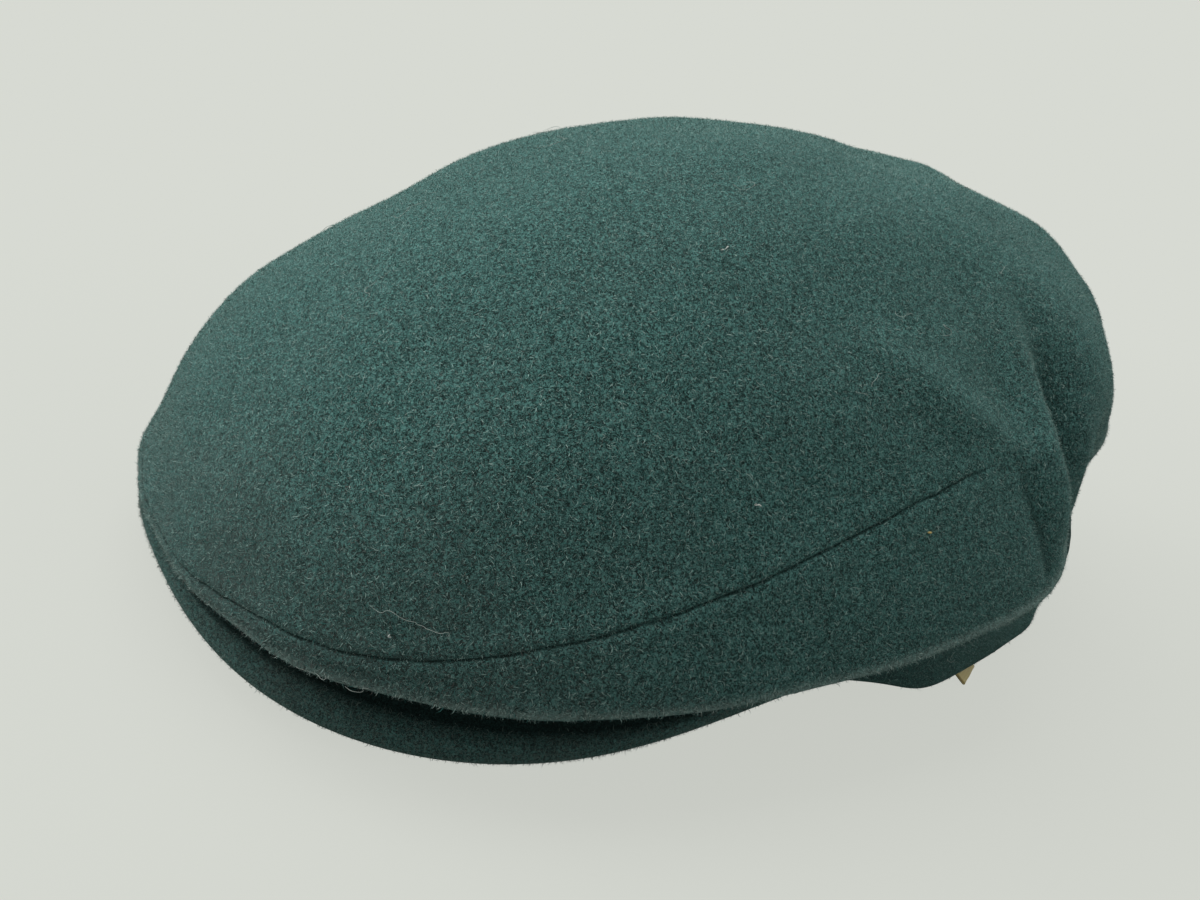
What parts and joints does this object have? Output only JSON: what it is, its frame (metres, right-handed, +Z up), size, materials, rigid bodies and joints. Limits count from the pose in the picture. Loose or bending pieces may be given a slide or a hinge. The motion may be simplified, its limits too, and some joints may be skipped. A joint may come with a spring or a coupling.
{
  "type": "flat cap",
  "caption": "Soft felted wool flat cap with a one-piece crown, a dart seam round its front, a stiff covered visor, and a lining and sweatband inside.",
  "frame": {"origin": "centre of the cap's bounding box, on the table that it rests on", "axes": "+Z up, -Y the way the visor points, +X the wearer's left"},
  "size_m": [0.2138, 0.2703, 0.1163],
  "materials": {
    "wool": "milled felted wool, matt, slightly fuzzy",
    "canvas": "undyed woven canvas",
    "satin": "woven satin, soft sheen",
    "ribbon": "ribbed grosgrain ribbon",
    "board": "pressed visor board"
  },
  "bodies": {
    "root": {"crown_shell": "wool", "crown_interlining": "canvas", "lining_tip": "satin", "lining_band": "satin", "hem_tape": "canvas", "sweatband": "ribbon", "visor_board": "board", "visor_top_cover": "wool", "visor_under_cover": "wool", "front_tack": "wool", "hem_tab": "satin"}
  },
  "joints": []
}
